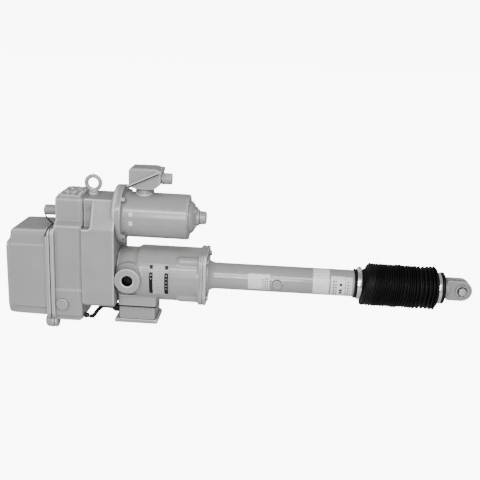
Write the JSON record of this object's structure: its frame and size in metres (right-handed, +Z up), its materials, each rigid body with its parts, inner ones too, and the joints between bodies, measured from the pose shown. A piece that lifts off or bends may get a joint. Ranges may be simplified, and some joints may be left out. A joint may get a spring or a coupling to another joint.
{
  "type": "linear actuator",
  "caption": "Trunnion-mounted electric linear actuator: parallel motor, gear case and limit-switch cover driving a ball-screw rod with a bellows and fork end.",
  "frame": {"origin": "where the ball-screw axis crosses the trunnion axis, midway between the two trunnion faces", "axes": "+X along the rod towards the fork, +Y towards the back, +Z up towards the motor"},
  "size_m": [1.312, 0.2092, 0.472],
  "materials": {
    "grey_paint": "satin machine enamel over castings",
    "machined_steel": "turned",
    "bronze": "turned",
    "black_rubber": "matt",
    "black_plastic": "moulded",
    "label_film": "printed film",
    "stator_winding": "varnished",
    "bright_metal": "zinc plated"
  },
  "bodies": {
    "root": {"gear_case": "grey_paint", "middle_housing": "grey_paint", "rear_cover": "grey_paint", "cover_gasket": "black_rubber", "eye_bolt": "bright_metal", "handle_shaft_cap": "grey_paint", "cap_chain": "bright_metal", "control_lead": "black_rubber", "junction_box_gland": "black_plastic", "housing_gland": "black_plastic", "screw_housing": "grey_paint", "trunnion_bush_front": "bronze", "trunnion_bush_back": "bronze", "outer_tube": "grey_paint", "grease_plug": "grey_paint", "rod_guide_bush": "bronze", "rod_wiper_seal": "black_rubber", "junction_box_base": "grey_paint", "junction_box_lid": "grey_paint", "terminal_box_base": "grey_paint", "terminal_box_cover": "grey_paint", "terminal_block": "black_plastic", "conduit_hub": "grey_paint", "motor_frame": "grey_paint", "stator": "stator_winding", "brake_cover": "grey_paint", "motor_shaft_cap": "grey_paint", "brake_magnet": "machined_steel", "motor_bearing_front": "machined_steel", "motor_rear_shield": "grey_paint", "motor_bearing_rear": "machined_steel", "idler_shaft": "machined_steel", "screw_bearing_rear": "machined_steel", "screw_bearing_front": "machined_steel", "switch_bracket": "machined_steel", "retract_switch": "black_plastic", "extend_switch": "black_plastic", "bellows": "black_rubber", "bellows_clamp_rear": "bright_metal", "nameplate": "label_film", "drain_plug": "grey_paint"},
    "rotor": {"motor_shaft": "machined_steel", "rotor_core": "machined_steel", "brake_disc": "black_plastic", "motor_pinion": "machined_steel"},
    "armature": {"brake_armature": "machined_steel"},
    "idler": {"idler_gear": "machined_steel"},
    "screw": {"ball_screw": "machined_steel", "screw_gear": "machined_steel", "cam_worm": "machined_steel"},
    "cams": {"cam_shaft": "machined_steel", "cam_wheel": "bronze", "retract_cam": "black_plastic", "extend_cam": "black_plastic"},
    "rod": {"ball_nut": "machined_steel", "rod_tube": "bright_metal", "rod_fork": "grey_paint", "bellows_clamp_front": "bright_metal"},
    "pin": {"fork_pin": "machined_steel", "pin_washer": "machined_steel"}
  },
  "joints": [
    {"name": "motor_spin", "type": "hinge", "parent": "root", "child": "rotor", "pos_m": [0, 0, 0.17], "axis": [1, 0, 0], "range_deg": [0, 43200]},
    {"name": "idler_spin", "type": "hinge", "parent": "root", "child": "idler", "pos_m": [0, 0, 0.105], "axis": [1, 0, 0], "range_deg": [-19200.1, 0]},
    {"name": "screw_spin", "type": "hinge", "parent": "root", "child": "screw", "pos_m": [0, 0, 0], "axis": [1, 0, 0], "range_deg": [0, 14400.1]},
    {"name": "rod_slide", "type": "slide", "parent": "root", "child": "rod", "axis": [1, 0, 0], "range_m": [0, 0.4], "deforming": ["bellows"]},
    {"name": "cam_spin", "type": "hinge", "parent": "root", "child": "cams", "pos_m": [-0.268, 0, -0.0363], "axis": [0, 1, 0], "range_deg": [0, 288]},
    {"name": "brake_release", "type": "slide", "parent": "root", "child": "armature", "axis": [1, 0, 0], "range_m": [0, 0.0004], "stiffness_N_per_m": 20000, "springref_m": -0.002},
    {"name": "fork_pin_spin", "type": "hinge", "parent": "rod", "child": "pin", "pos_m": [0.943, 0, 0], "axis": [0, 1, 0], "continuous": true}
  ],
  "couplings": [
    {"joint": "idler_spin", "follows": "motor_spin", "ratio": -0.44444},
    {"joint": "screw_spin", "follows": "motor_spin", "ratio": 0.33333},
    {"joint": "rod_slide", "follows": "motor_spin", "m_per_rad": 0.00053052},
    {"joint": "cam_spin", "follows": "motor_spin", "ratio": 0.0066667}
  ]
}
